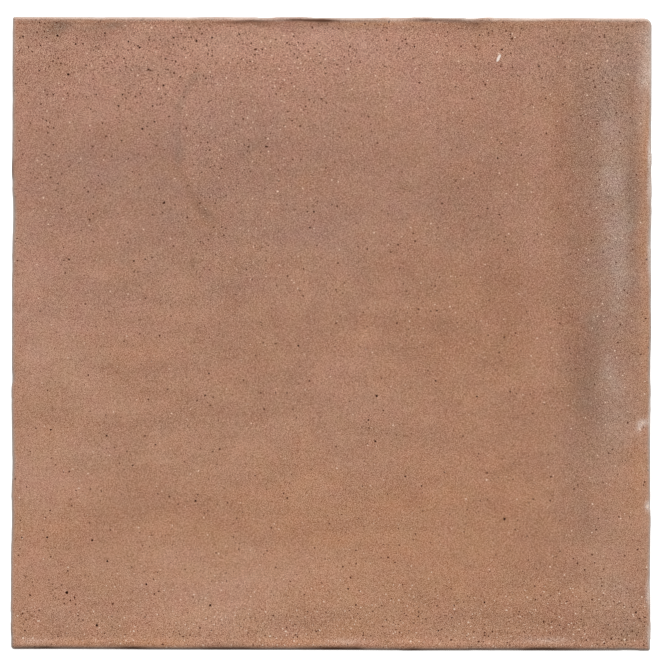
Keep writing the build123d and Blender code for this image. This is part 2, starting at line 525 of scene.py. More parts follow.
def pocket_lines(span):
    """Lines across the back in one direction, the pockets' middles and half the size of a pocket."""
    size = (span - 2 * border_width - (pockets - 1) * rib_width) / pockets
    middles = (np.arange(pockets) - (pockets - 1) / 2) * (size + rib_width)
    half = size / 2
    foot = half - pocket_draft_run
    reach = np.array([half + rib_line, half, half - pocket_draft_run / 2, foot, foot - floor_line])
    steps = np.concatenate([-reach, [0], reach[::-1]])
    border = span / 2 - border_places
    return np.concatenate([-border, (middles[:, None] + steps).ravel(), border[::-1]]), middles, half


back_x_lines, middles_x, half_x = pocket_lines(length)
back_y_lines, middles_y, half_y = pocket_lines(width)
back_x, back_y = np.meshgrid(back_x_lines, back_y_lines)
pocket_corner = 1.3 * mm
from_middle_x = np.abs(back_x[..., None] - middles_x).min(-1)
from_middle_y = np.abs(back_y[..., None] - middles_y).min(-1)
past_x = from_middle_x - (half_x - pocket_corner)
past_y = from_middle_y - (half_y - pocket_corner)
outside = np.hypot(np.maximum(past_x, 0), np.maximum(past_y, 0)) - pocket_corner
rim_distance = outside + np.minimum(np.maximum(past_x, past_y), 0)
sunk = ease(-rim_distance / pocket_draft_run)
floor_roll = 0.03 * mm
back_z = sunk * (pocket_depth + floor_roll * rolling(back_x, back_y, 5 * mm, 41))
print("the back is", back_x.shape, "vertices, pockets", round(2 * half_x / mm, 2), "mm wide")


# %% [markdown]
# ## Sewing the skin
#
# Four kinds of faces close the tile: the face's cells less those taken by pinholes, the rings of the
# pinholes, the strips of the wall, and the cells of the back. The back's outer line has fewer vertices than
# the wall's last loop, so the strip between them is a zip of triangles: each edge of either line gets one
# triangle to the vertex opposite.

# %% Helpers for cells and strips
def grid_cells(row_count, column_count, first):
    """Corner indices of the cells of a grid of vertices stored row by row, counter-clockwise from above."""
    index = first + np.arange(row_count * column_count).reshape(row_count, column_count)
    return np.stack([index[:-1, :-1], index[:-1, 1:], index[1:, 1:], index[1:, :-1]], -1)


def strip(lower, upper):
    """Quads between two loops of equal count, each quad from the lower loop up to the upper one."""
    return np.stack([lower, np.roll(lower, -1), np.roll(upper, -1), upper], -1)


def zip_strip(inner, outer):
    """Triangles between two open lines of different counts, the outer one finer.

    Edge i of the outer line goes to inner vertex round((i + 1/2) * m / n), and edge j of the inner line goes
    to the outer vertex where that number passes j.
    """
    n, m = len(outer) - 1, len(inner) - 1
    opposite = np.round((np.arange(n) + 0.5) * m / n).astype(int)
    turn_at = np.searchsorted(opposite, np.arange(m), side="right")
    from_outer = np.stack([inner[opposite], outer[1:], outer[:-1]], -1)
    from_inner = np.stack([inner[:-1], inner[1:], outer[turn_at]], -1)
    return np.concatenate([from_outer, from_inner])


def border_walk(row_count, column_count, first):
    """The four sides of a grid's outer line, counter-clockwise from its front left corner, ends shared."""
    index = first + np.arange(row_count * column_count).reshape(row_count, column_count)
    return [index[0], index[:, -1], index[-1, ::-1], index[::-1, 0]]


# %% Faces of the tile
face_points = np.stack([plan_x, plan_y, height], -1).reshape(-1, 3)
points = [face_points]
face_count = len(face_points)
count = face_count

cells = grid_cells(lines, lines, 0)
kept = np.ones(cells.shape[:2], bool)
for step_row in (-1, 0):
    for step_column in (-1, 0):
        kept[hole_row + step_row, hole_column + step_column] = False
quads = [cells[kept]]

outer_ring = block
for hole_ring in hole_rings:
    points.append(hole_ring.reshape(-1, 3))
    inner_ring = count + np.arange(holes * spokes).reshape(holes, spokes)
    count += holes * spokes
    sides = [outer_ring, np.roll(outer_ring, -1, 1), np.roll(inner_ring, -1, 1), inner_ring]
    quads.append(np.stack(sides, -1).reshape(-1, 4))
    outer_ring = inner_ring
floor_vertex = np.repeat((hole_row * lines + hole_column)[:, None], spokes, 1)
triangles = [np.stack([outer_ring, np.roll(outer_ring, -1, 1), floor_vertex], -1).reshape(-1, 3)]

upper = loop_row * lines + loop_column
for loop in wall_loops:
    points.append(loop)
    lower = count + np.arange(len(loop))
    count += len(loop)
    quads.append(strip(lower, upper))
    upper = lower

back_rows, back_columns = back_x.shape
points.append(np.stack([back_x, back_y, back_z], -1).reshape(-1, 3))
quads.append(grid_cells(back_rows, back_columns, count)[..., ::-1].reshape(-1, 4))
closed = np.append(upper, upper[0])
for side, inner_line in enumerate(border_walk(back_rows, back_columns, count)):
    triangles.append(zip_strip(inner_line, closed[side * last : (side + 1) * last + 1]))

points = np.concatenate(points)
quads = np.concatenate(quads)
triangles = np.concatenate(triangles)
print(len(points), "vertices,", 2 * len(quads) + len(triangles), "triangles")

# %% [markdown]
# A closed skin whose faces all look outward walks along every edge exactly twice, once each way, and the
# volume that it holds comes out positive. Both are worked out here, since a single strip sewn the wrong way
# round shows up in them.

# %% Into a mesh
def signed_volume(vertices, fours, threes):
    """Volume inside a closed skin: a . (b x c) / 6 summed over its triangles, positive if they face out."""
    halves = np.concatenate([fours[:, [0, 1, 2]], fours[:, [0, 2, 3]], threes])
    a, b, c = (vertices[halves[:, k]] for k in range(3))
    return float(np.einsum("ij,ij->i", a, np.cross(b, c)).sum() / 6)


def evenly_wound(fours, threes):
    """Whether every edge is walked once each way, so that the skin is closed and no face is turned over."""
    a = np.concatenate([faces.ravel() for faces in (fours, threes)])
    b = np.concatenate([np.roll(faces, -1, 1).ravel() for faces in (fours, threes)])
    most = a.max() + 1
    one_way, other_way = np.sort(a * most + b), np.sort(b * most + a)
    return bool((np.diff(one_way) > 0).all() and (one_way == other_way).all())


tile_mesh = bpy.data.meshes.new("fired_tile")
corners = np.concatenate([quads.ravel(), triangles.ravel()]).astype(np.int32)
starts = np.concatenate([4 * np.arange(len(quads)), 4 * len(quads) + 3 * np.arange(len(triangles))])
tile_mesh.vertices.add(len(points))
tile_mesh.vertices.foreach_set("co", points.astype(np.float32).ravel())
tile_mesh.loops.add(len(corners))
tile_mesh.loops.foreach_set("vertex_index", corners)
tile_mesh.polygons.add(len(starts))
tile_mesh.polygons.foreach_set("loop_start", starts.astype(np.int32))
tile_mesh.update(calc_edges=True)
changed = tile_mesh.validate()
tile_mesh.polygons.foreach_set("use_smooth", np.ones(len(starts), bool))
sharp_angle = math.radians(40)
tile_mesh.set_sharp_from_angle(angle=sharp_angle)

fired_tile = bpy.data.objects.new("fired_tile", tile_mesh)
bpy.context.collection.objects.link(fired_tile)
litres = signed_volume(points, quads, triangles) * 1000
print("mended:", changed, "evenly wound:", evenly_wound(quads, triangles))
print("volume", round(litres, 4), "litres")

# %% [markdown]
# ## Where the colours lie
#
# The face is printed and fired in clouds, and a cloud is a sum of soft ovals, listed one by one. An oval says
# how far right and up of the middle it lies, its half length and half width, all in millimetres, its
# strength, and its turn in degrees where it has one. It fades as exp(-d^2), with d the distance from its
# middle in half sizes. Rolling noise moves the outlines and makes the strength patchy, so that no oval shows
# as one. Each kind of cloud becomes one number on every vertex, and the material gives it its colour.

# %% Ovals, drift and patches
drift_waves = [(1, 17 * mm), (0.5, 7 * mm), (0.3, 3 * mm)]


def clouds(x, y, ovals):
    """Sum of soft ovals over the plan: each is its strength times exp(-(u^2 + v^2)).

    u and v are the distances from its middle along its turned axes, in half sizes. An oval that isn't turned
    leaves its turn out.
    """
    total = np.zeros_like(x)
    for right, up, half_length, half_width, strength, *turn in ovals:
        angle = math.radians(sum(turn))
        dx, dy = x / mm - right, y / mm - up
        u = (dx * math.cos(angle) + dy * math.sin(angle)) / half_length
        v = (dy * math.cos(angle) - dx * math.sin(angle)) / half_width
        total += strength * np.exp(-(u * u + v * v))
    return total


def drifted(x, y, reach, seed):
    """The plan moved by rolling noise 17, 7 and 3 mm long, so that an oval loses its clean outline."""
    move_x = sum(share * rolling(x, y, wave, seed + k) for k, (share, wave) in enumerate(drift_waves))
    move_y = sum(share * rolling(y, x, wave, seed + 3 + k) for k, (share, wave) in enumerate(drift_waves))
    return x + reach * move_x, y + reach * move_y


def patchy(x, y, depth, seed):
    """A factor about 1 that varies by the given depth, in patches of 15 by 6 mm and of 3.5 mm."""
    return 1 + depth * (0.6 * rolling(x * 0.4, y, 6 * mm, seed) + 0.5 * rolling(x, y, 3.5 * mm, seed + 1))


# %% [markdown]
# The ground is greyer in cool and dun clouds, warmer in orange and rose ones, lighter in pale ones and
# darker in umber ones. The number before a kind's ovals is its drift: how far the noise moves their
# outlines, in millimetres. The kinds are kept in order, because each one's seed follows from its number.

# %% Clouds of the ground
cloud_kinds = {}
cloud_kinds["cool"] = 5, [
    (-66, 46, 52, 28, 0.38), (-20, 38, 46, 18, 0.28), (-60, 12, 50, 10, 0.14), (-20, 82, 100, 20, 0.14),
    (-16, 62, 36, 14, 0.12), (-84, 46, 14, 20, 0.24), (24, -72, 12, 8, 0.14), (-8, 26, 10, 8, 0.3),
    (-40, 60, 10, 10, 0.14), (28, 52, 50, 20, 0.34), (34, 35, 22, 8, 0.3), (-94, 12, 9, 16, 0.1),
    (62, 88, 16, 8, 0.2), (82, -70, 14, 18, 0.15, 15), (-28, 8, 10, 6, 0.2), (-20, -18, 90, 20, 0.1),
    (-92, 88, 14, 10, 0.2),
]
cloud_kinds["dun"] = 2.5, [
    (85, 76, 12, 20, 0.4), (87, 44, 10, 26, 0.42), (87, 8, 10, 26, 0.42), (84, -30, 10, 18, 0.42),
    (81, -58, 10, 16, 0.22), (92, -92, 8, 7, 0.22), (76, 10, 5, 50, 0.18), (82, -5, 6, 12, 0.2),
    (93, 89, 6, 9, 0.3), (89, -72, 8, 7, 0.16),
]
cloud_kinds["orange"] = 5, [
    (44, 22, 14, 9, 0.15), (44, -10, 30, 22, 0.12), (-6, -40, 12, 8, 0.5), (73, 70, 6, 12, 0.15),
    (-89, -40, 10, 9, 0.16), (40, -24, 22, 8, 0.14), (-57, -8, 10, 8, 0.2), (-90, -80, 12, 14, 0.12),
    (-30, -90, 34, 6, 0.15), (36, 90, 12, 7, 0.15), (-14, -78, 18, 12, 0.2), (90, -46, 8, 12, 0.2),
    (0, -76, 100, 20, 0.42), (10, -56, 70, 16, 0.3), (-28, 42, 20, 9, 0.12), (4, 46, 12, 6, 0.1),
    (-92, -66, 12, 30, 0.2), (45, -45, 34, 14, 0.15), (52, -4, 26, 12, 0.25),
]
cloud_kinds["rose"] = 4, [
    (-96, 40, 6, 60, 0.2), (-88, 22, 10, 10, 0.2), (4, -16, 10, 12, 0.14), (-14, -72, 14, 7, 0.14),
    (-70, 80, 24, 16, 0.12), (-5, 91, 52, 9, 0.42), (-62, 80, 46, 20, 0.22), (30, 76, 40, 12, 0.2),
    (64, 30, 3, 48, 0.3), (-88, 0, 16, 10, 0.25, 10), (-66, 0, 14, 4, 0.2, 8), (-45, -84, 24, 5, 0.3),
    (-90, -44, 12, 7, 0.25), (-90, -80, 12, 14, 0.25),
]
cloud_kinds["pale"] = 3, [
    (-65, 72, 28, 8, 0.12), (-50, -72, 14, 8, 0.2), (-24, 88, 10, 6, 0.12), (24, -24, 10, 9, 0.12),
    (-89, -8, 9, 8, 0.12), (-73, -40, 9, 9, 0.12), (-60, 88, 8, 8, 0.1), (16, 80, 14, 8, 0.12),
    (73, -40, 7, 7, 0.1), (-94, 8, 7, 24, 0.2), (-20, -36, 36, 10, 0.11), (-30, 90, 70, 9, 0.13),
    (-25, -82, 26, 14, 0.13), (-40, -75, 44, 9, 0.26, 2), (-12, -77, 20, 5, 0.12),
    (-30, -89, 34, 5, 0.26), (-10, 92, 24, 4, 0.35), (-40, 88, 10, 7, 0.2), (-92, -84, 14, 14, 0.14),
    (-88, -8, 12, 6, 0.3), (-92, -48, 14, 14, 0.18), (-95, 20, 6, 12, 0.2), (-82, -42, 18, 9, 0.18),
    (86, -38, 9, 9, 0.2), (86, -62, 12, 10, 0.2), (52, 22, 10, 6, 0.12), (98.4, 80, 2.2, 14, 0.3),
    (4, -40, 14, 8, 0.12),
]
cloud_kinds["umber"] = 2, [
    (76, -4, 4, 14, 0.25), (74, 36, 3, 26, 0.12), (-56, 58, 18, 7, 0.1), (10, 56, 60, 10, 0.14),
    (50, 54, 12, 8, 0.08), (89, 8, 6, 9, 0.12), (10, 44, 110, 20, 0.07), (46, 72, 20, 9, 0.13),
    (78, 88, 22, 7, 0.1), (54, 8, 8, 8, 0.1), (48, -56, 26, 9, 0.09), (73, -80, 8, 14, 0.1),
    (42, 31, 16, 7, 0.12), (14, 22, 16, 9, 0.12), (50, 16, 24, 12, 0.14), (78, 40, 5, 52, 0.16),
    (78, -30, 6, 18, 0.16), (-92, 60, 14, 30, 0.1), (51.5, 20, 10, 9, 0.34), (40, 46, 14, 5, 0.14),
    (30, 4, 26, 4, 0.3), (36, -7, 18, 9, 0.32), (-24, -6, 9, 9, 0.22), (54, -4, 5, 7, 0.2),
    (20, 24, 7, 5, 0.15), (-28, 11, 7, 4, 0.25), (-40, -12, 9, 8, 0.15), (-60, -48, 9, 5, 0.2),
    (-35, -60, 10, 6, 0.28), (38, -34, 24, 10, 0.12), (51, -51, 2.4, 2.4, 0.35), (25, -52, 5, 3, 0.2),
    (-84, -77, 8, 4, 0.14), (-62, -74, 10, 4, 0.2), (-8, -90, 12, 3, 0.15), (70, -88, 10, 3.5, 0.25, -35),
    (75, -88.5, 4, 3.5, 0.3), (82, -93.5, 6, 2.6, 0.22), (71, 64, 3, 30, 0.33), (74, 6, 7, 44, 0.2),
    (60, -30, 8, 60, 0.14), (50, 87, 12, 5, 0.12), (46, 44, 14, 18, 0.1), (24, 40, 9, 9, 0.09),
    (8, -40, 9, 8, 0.14), (-8, -88, 10, 6, 0.1), (-24, -8, 9, 7, 0.08), (-41, 40, 9, 9, 0.09),
]

# %% [markdown]
# The marks of the kiln and of wear are smaller and crisper, and most lie along the edges: smoke and bloom,
# rims that rusted or wore pale, chalk where the skin crumbled, with painted light along the rear and right
# rims, and scorch, with painted shade along the front wall, the rear lip and the left wall. A faint curl of
# them lies behind and to the left of the middle.

# %% Marks of the kiln and of wear
cloud_kinds["smoke"] = 0.8, [
    (-86, 95.6, 4, 2, 0.42), (-84.5, 97, 3.5, 1.2, 0.4), (-93, 94.6, 5, 2.2, 0.24),
    (-69.5, 96.4, 4.8, 1.2, 0.55), (-77, 96, 3.5, 1.2, 0.25), (-72, 93, 5, 2.5, 0.14),
    (-60, 82, 4, 1.4, 0.3), (-50, 90, 3, 3, 0.14), (-42.9, 80.8, 2, 1.1, 0.34, 35),
    (-45.9, 76, 4.5, 1.1, 0.34, 66), (-48.2, 65, 7, 1.3, 0.18, 90), (-48, 55, 4.5, 1.3, 0.28, 90),
    (-38, 36, 3, 1.8, 0.25, -35), (-26, 57, 6, 1.9, 0.32, 24), (78, 62, 4, 26, 0.12),
    (82, 0, 3.4, 8, 0.2), (79.6, -12, 5, 8, 0.2), (79.4, -21, 5.2, 7, 0.23), (93.2, 42, 2, 24, 0.32),
    (78, -54, 4, 9, 0.1), (92, -94, 7, 3.4, 0.16), (-67, -55, 6, 4, 0.1),
]
cloud_kinds["bloom"] = 2, [
    (86.6, 60, 3.6, 13, 0.28, -6), (86.8, 50, 3.2, 8, 0.3, -4), (88.6, 34, 3.6, 10, 0.34),
    (89.8, 17, 3.6, 11, 0.34, 4), (88.4, -14.5, 3.2, 8, 0.34), (88, 82, 5, 8, 0.12),
    (90, -28, 5, 9, 0.16), (97.5, 92, 2.6, 5, 0.4), (87.5, -80.5, 8, 5, 0.22),
]
cloud_kinds["rust"] = 0.4, [
    (8, 97, 80, 1, 0.42), (-78, -97, 8, 1.2, 0.6), (-53, -97, 9, 1.3, 0.7), (-12, -96.4, 10, 1.6, 0.35),
    (98, 62, 1.2, 12, 0.4), (97.6, 40, 1.4, 22, 0.35), (98, 0, 1.5, 22, 0.5), (97, -46, 3, 13, 0.55),
    (85, 1.5, 7, 5, 0.13), (-45.4, 44.8, 6, 2.2, 0.34, -62), (-40, 35.5, 5, 2.5, 0.3, -39),
]
cloud_kinds["worn"] = 0.4, [
    (97.7, 50, 0.8, 32, 0.22), (97.7, 0, 0.8, 26, 0.25), (98, -50, 1.2, 16, 0.4), (-44, 68, 2.4, 8, 0.14),
    (-43.3, 54, 2.2, 7, 0.14, 8), (91.5, -28.3, 6, 0.6, 0.3, 14),
]
# The two long thin ovals along the right wall and the rear arris are painted light, where those rims face the
# key. The others are chalk where the skin crumbled.
cloud_kinds["chalk"] = 0.4, [
    (98.8, 80.5, 2.8, 5, 0.4), (99.2, 92, 1.6, 5, 0.25), (99.9, 0, 0.35, 110, 0.45),
    (0, 98.15, 110, 0.4, 0.2), (97.5, 84, 2.5, 8, 0.07), (97.6, 71, 1.6, 6, 0.1), (99.3, 56, 0.5, 4, 0.6),
    (99.2, 46, 0.5, 5, 0.5), (99.2, 26, 0.8, 9, 0.35), (98.4, -27.6, 1.6, 1, 0.4, 20),
    (96.8, -29, 1.8, 0.9, 0.35, 75), (99, -53.5, 0.9, 1.2, 0.95), (99, -81, 1, 3.4, 0.5),
    (99.2, -93.5, 0.8, 3.2, 0.35), (67, -95.5, 7, 1, 0.2), (5, -96, 5, 1, 0.15), (-92, -96, 4, 1, 0.15),
]
# Only the two turned ovals in the curl are scorch marks. The others are painted shade along the rims: on the
# front wall and arris, which face away from the key, over the crest of the rear lip, where a dark printed
# line also runs, faintly along the right rim, and as painted shadows of flakes on the left wall.
cloud_kinds["burn"] = 0.2, [
    (-44.7, 45.6, 6.5, 1.3, 0.25, -62), (-39.5, 38, 4.6, 1.8, 0.22, -39), (-27, 97.6, 8, 0.5, 0.7, 2),
    (-21, 97, 4, 0.6, 0.35), (-8, 97.8, 9, 0.5, 0.95), (-3, 97.2, 4, 0.8, 0.35), (33, 98.1, 8, 0.5, 0.95),
    (43, 97.5, 7, 0.9, 0.65), (45, 96.4, 2.4, 1, 0.3), (8, 97.8, 8, 0.5, 0.3), (-5, 97.8, 90, 0.5, 0.03),
    (-5, -99.3, 110, 1.3, 1), (0, -97.75, 110, 0.5, 0.1), (98.9, 15, 0.35, 50, 0.08),
    (-91, -98.3, 6, 0.7, 0.6), (-62, -98.3, 5, 0.8, 0.7), (-32, -98.3, 9, 0.6, 0.5),
    (3, -98.3, 7, 0.7, 0.7), (24, -98.4, 5, 0.6, 0.4), (66, -98.3, 8, 0.6, 0.7),
    (-98.85, 0, 0.45, 100, 0.055), (-99.8, 51, 0.6, 4, 0.4), (-99.8, 36, 0.6, 4, 0.3),
    (-99.7, -94, 0.6, 5, 0.3),
]

# %% [markdown]
# Two last kinds hold no colour. They say where dark specks and pale flecks are dense.

# %% Where specks and flecks lie
cloud_kinds["speckled"] = 4, [
    (-60, 88, 50, 12, 0.7), (-50, 60, 30, 20, 0.3), (20, 90, 60, 8, 0.5), (-20, 40, 40, 30, 0.15),
    (80, 80, 14, 14, 0.25), (0, -97, 100, 6, 0.2), (50, -90, 40, 8, 0.15), (88, -88, 12, 14, 0.3),
    (-85.5, 95.6, 5, 2, 0.8), (-69, 95.3, 5, 1.6, 0.7), (-90, -88, 16, 14, 0.25),
]
cloud_kinds["flecked"] = 4, [
    (-88, 95, 2.5, 1.5, 0.8), (0, -92, 110, 12, 0.6), (20, -96, 90, 3, 0.4), (70, -88, 30, 10, 0.35),
    (-20, 85, 90, 14, 0.25), (-20, 55, 16, 40, 0.25), (88, 10, 8, 70, 0.25),
]
print(sum(len(ovals) for _, ovals in cloud_kinds.values()), "ovals in", len(cloud_kinds), "kinds")

# %% [markdown]
# The clouds belong to the printed face. So they are whole as far down as the arris and the pinholes, half as
# strong on the wall's first loop, and gone from the second one down.

# %% Clouds onto the vertices
first_loop = face_count + len(ring_shares) * holes * spokes
printed = np.zeros(len(points))
printed[:first_loop] = 1
printed[first_loop : first_loop + len(loop_row)] = 0.5

patchiness = 0.45
first_seed = 60
seeds_a_kind = 10


def keep_mark(name, amount):
    """Gives the mesh one number for every vertex, under a name that the material reads."""
    attribute = tile_mesh.attributes.new(name, "FLOAT", "POINT")
    attribute.data.foreach_set("value", amount.astype(np.float32))
    print(name, "reaches", round(float(amount.max()), 2))


for number, (name, (reach, ovals)) in enumerate(cloud_kinds.items()):
    seed = first_seed + seeds_a_kind * number
    warped_x, warped_y = drifted(points[:, 0], points[:, 1], reach * mm, seed)
    amount = clouds(warped_x, warped_y, ovals) * patchy(points[:, 0], points[:, 1], patchiness, seed + 6)
    keep_mark(name, np.clip(amount, 0, 1) * printed)

# %% [markdown]
# Two more numbers belong to the shape: whether a vertex lies inside a pinhole, and how far it is off the
# printed face and on the bare body of the wall and back.

# %% Marks that follow the shape
pit = np.zeros(len(points))
pit[hole_row * lines + hole_column] = 1
pit[face_count + holes * spokes : first_loop] = 1
keep_mark("pit", pit)

# The body shows through over the arris and the crest, less and less over this many rings.
bare_rings = 8
bare = np.ones(len(points))
bare[:face_count] = np.clip(1 - ring_of.ravel() / bare_rings, 0, 1) ** 1.5
bare[face_count:first_loop] = 0
keep_mark("bare", bare)

# %% [markdown]
# ## Writing shader maths as sums
#
# A material is a net of nodes, and most of them do arithmetic. The class below wraps one output socket, and
# its operators add the node that works the expression out, so `1 - mask * 0.5` reads as maths and not as
# wiring. Colours go through Vector Math and Mix, because a Math node would turn them grey.

# %% Wires of a material
class Wire:
    """One output of a node. Sums, products and powers of wires add the node that works them out."""

    def __init__(self, kit, socket):
        self.kit = kit
        self.socket = socket
        self.kind = socket.type

    def _with(self, operation, *inputs):
        is_colour = any(isinstance(i, tuple) or getattr(i, "kind", "") in ("RGBA", "VECTOR") for i in inputs)
        kind = "ShaderNodeVectorMath" if is_colour else "ShaderNodeMath"
        return self.kit.node(kind, {"operation": operation}, inputs)

    def __add__(self, other):
        return self._with("ADD", self, other)

    def __radd__(self, other):
        return self._with("ADD", other, self)

    def __sub__(self, other):
        return self._with("SUBTRACT", self, other)

    def __rsub__(self, other):
        return self._with("SUBTRACT", other, self)

    def __mul__(self, other):
        return self._with("MULTIPLY", self, other)

    def __rmul__(self, other):
        return self._with("MULTIPLY", other, self)

    def __truediv__(self, other):
        return self._with("DIVIDE", self, other)

    def __pow__(self, other):
        return self._with("POWER", self, other)

    def above(self, low, high):
        """0 where this is at low or under, 1 where it is at high or over, smooth between."""
        inputs = {"Value": self, "From Min": low, "From Max": high}
        return self.kit.node("ShaderNodeMapRange", {"interpolation_type": "SMOOTHSTEP"}, inputs)


class MaterialKit:
    """A material and the one method that adds any node to it."""

    def __init__(self, name):
        self.material = bpy.data.materials.new(name)
        self.material.use_nodes = True
        self.tree = self.material.node_tree
        self.tree.nodes.clear()

    def node(self, kind, settings, inputs, output=0):
        """Adds a node from its type, its settings, which are set first, and its inputs' values or wires."""
        made = self.tree.nodes.new(kind)
        for key, value in settings.items():
            setattr(made, key, value)
        for key, value in inputs.items() if isinstance(inputs, dict) else enumerate(inputs):
            socket = made.inputs[key]
            if isinstance(value, Wire):
                self.tree.links.new(value.socket, socket)
            elif socket.type in ("RGBA", "VECTOR") and np.isscalar(value):
                socket.default_value = [value] * len(socket.default_value)
            else:
                socket.default_value = value
        if made.outputs:
            return Wire(self, made.outputs[output])

    def mix(self, share, first, second):
        """Blends two colours: first where share is 0, second where it is 1."""
        pair = {0: share, 6: first, 7: second}
        return self.node("ShaderNodeMix", {"data_type": "RGBA", "clamp_factor": True}, pair, 2)

    def mark(self, name):
        """A number that the mesh holds for every vertex."""
        return self.node("ShaderNodeAttribute", {"attribute_name": name}, {}, 2)

    def dress(self, mesh, inputs):
        """Gives the mesh this material: one Principled shader with these inputs, joined to the output."""
        shader = self.node("ShaderNodeBsdfPrincipled", {}, inputs)
        self.node("ShaderNodeOutputMaterial", {}, {"Surface": shader})
        mesh.materials.append(self.material)


# %% [markdown]
# ## The fired face
#
# From the ground up: the ground is a blend of two brown-pinks, mottled in patches a few millimetres to
# centimetres wide. The clouds come over it, each broken up by the same mottling so that none looks
# airbrushed. A sandy grain a fifth of a millimetre wide lightens and darkens everything, dark specks and
# pale flecks of grog lie in it, and the pinholes are painted dark inside, as painted shade in the holes. The
# wall and the back show the bare grey-beige body.

# %% Colours
def clay(red, green, blue):
    """A colour given as the eye sees it on a screen, 0 to 255, as the linear colour that a shader needs."""
    share = np.array([red, green, blue]) / 255
    linear = np.where(share <= 0.04045, share / 12.92, ((share + 0.055) / 1.055) ** 2.4)
    return (*(float(x) for x in linear), 1.0)


ground_dark = clay(166.4, 121.7, 95.4)
ground_light = clay(186.8, 140.0, 112.8)
cool_tone = clay(162, 125, 110)
dun_tone = clay(147, 119, 105)
rose_tone = clay(183, 132, 118)
pale_tone = clay(196, 154, 130)
umber_tone = clay(154, 106, 80)
smoke_tone = clay(119, 98, 82)
bloom_tone = clay(184, 161, 147)
# Whitish chalk of crumbled skin and of the chip, also used as painted light on the rear and right rims.
chalk_and_edge_light_tone = clay(236, 218, 206)
orange_tone = clay(188, 135, 99)
# Dark brown of scorch, and of the painted shade on the rims.
burn_and_edge_shade_tone = clay(82, 46, 24)
speck_tone = clay(84, 36, 4)
fleck_tone = clay(233, 202, 179)
# Painted shade: the insides of the pinholes are coloured near-black brown.
pit_shade_tone = clay(78, 34, 6)
body_tone = clay(197, 182, 171)
body_dark = clay(183, 166, 155)

# %% Grain and mottling
kit = MaterialKit("fired_face")
place = kit.node("ShaderNodeTexCoord", {}, {}, 3)
# A slanted cut through the noise doesn't show its lattice.
slant = kit.node("ShaderNodeMapping", {}, {"Vector": place, "Rotation": (0.6, 0.45, 0.3)})


def grit(size, detail, roughness=0.55, at=slant, output=0):
    """Noise about 0.5 on average, with features about that size."""
    inputs = {"Vector": at, "Scale": 1 / size, "Detail": detail, "Roughness": roughness}
    return kit.node("ShaderNodeTexNoise", {"noise_dimensions": "3D"}, inputs, output)


sand = grit(0.19 * mm, 1)
coarse_sand = grit(0.8 * mm, 2)
mottle = grit(9 * mm, 4, 0.6)
drift = grit(38 * mm, 3, 0.5)
streaks = grit(7 * mm, 3, 0.6, at=place * (0.3, 1, 1))

# %% [markdown]
# Specks and grains are crisp dots, but no dot of clay is a clean disc. A fine swirl moves the places that
# they are worked out from, so each has its own ragged outline.

# %% Specks, a chip and light grains
swirl = grit(0.45 * mm, 1, 0.5, output=1)
ragged_place = place + (swirl - (0.5, 0.5, 0.5)) * 0.32 * mm


def specks(size, share, radius):
    """Crisp dots in the plan: in a net of cells about that size, a share of the cells has one dot each.

    The cell's lot, a random number, settles both whether it has a dot and its radius, and few come near the
    full one. It is the blue of the cell's colour, as red and green follow the dot's place in the cell.
    """
    settings = {"voronoi_dimensions": "2D"}
    inputs = {"Vector": ragged_place, "Scale": 1 / size}
    distance = kit.node("ShaderNodeTexVoronoi", settings, inputs) * size
    lot = kit.node("ShaderNodeSeparateColor", {}, [kit.node("ShaderNodeTexVoronoi", settings, inputs, 1)], 2)
    luck = (share - lot) / share
    reach = (0.42 + 0.58 * luck ** 4) * radius
    return (reach - distance).above(0, 0.04 * mm) * luck.above(0, 0.01)


def drop(right, up, half_length, half_width, turn=0):
    """One crisp oval spot in the plan: its middle and half sizes in millimetres and its turn in degrees."""
    inputs = {
        "Vector": ragged_place,
        "Location": (right * mm, up * mm, 0),
        "Rotation": (0, 0, math.radians(turn)),
        "Scale": (half_length * mm, half_width * mm, 1),
    }
    inside = kit.node("ShaderNodeMapping", {"vector_type": "TEXTURE"}, inputs)
    distance = kit.node("ShaderNodeVectorMath", {"operation": "LENGTH"}, [inside], 1)
    return (1.15 - distance).above(0, 0.3)


clumps = grit(7 * mm, 1.5).above(0.36, 0.64)
dark_share = (0.06 + 0.55 * kit.mark("speckled")) * (0.35 + 1.3 * clumps)
dark_specks = specks(1.05 * mm, dark_share, 0.33 * mm)
pale_flecks = specks(1.25 * mm, 0.05 + 0.62 * kit.mark("flecked"), 0.26 * mm)

# The chip and the light grains that stand out in the photograph.
chip = drop(52, 86.2, 1.3, 0.42, 65)
light_grain = 0
light_grains = [
    (48.6, -45.5), (91.8, -95.3), (43, -90), (38.6, -85.9), (54.9, -86.2), (-16.9, 44.4), (-61.5, -93),
    (-96, -95.3), (-93, -95.3), (-19, -94.5), (-14, -93), (25, -96), (69, -91.5), (97.3, -27.6),
    (96.4, -29.6), (98.9, -53.6),
]
for right, up in light_grains:
    light_grain = drop(right, up, 0.32, 0.28) + light_grain

# %% The face's colour
colour = kit.mix((streaks * 0.6 + mottle * 0.4).above(0.25, 0.75), ground_dark, ground_light)
soft = 0.5 + streaks
grainy = 1 + (streaks - 0.5) * 0.5 + (coarse_sand - 0.5) * 0.8 + (sand - 0.5) * 6
cloud_tones = [
    ("cool", cool_tone, soft),
    ("dun", dun_tone, soft),
    ("orange", orange_tone, soft),
    ("rose", rose_tone, soft),
    ("pale", pale_tone, soft),
    ("umber", umber_tone, soft),
    ("rust", orange_tone, soft),
    ("worn", pale_tone, soft),
    ("smoke", smoke_tone, grainy),
    ("bloom", bloom_tone, grainy),
]
for name, tone, texture in cloud_tones:
    colour = kit.mix(kit.mark(name) * texture, colour, tone)
# Two slow shifts of hue, one between red and green and one between yellow and blue.
colour = colour * (1 + (grit(5.5 * mm, 1.5, 0.5) - 0.5) * (0.08, -0.09, -0.03))
colour = colour * (1 + (grit(8 * mm, 1.5, 0.5) - 0.5) * (0.03, 0.03, -0.14))

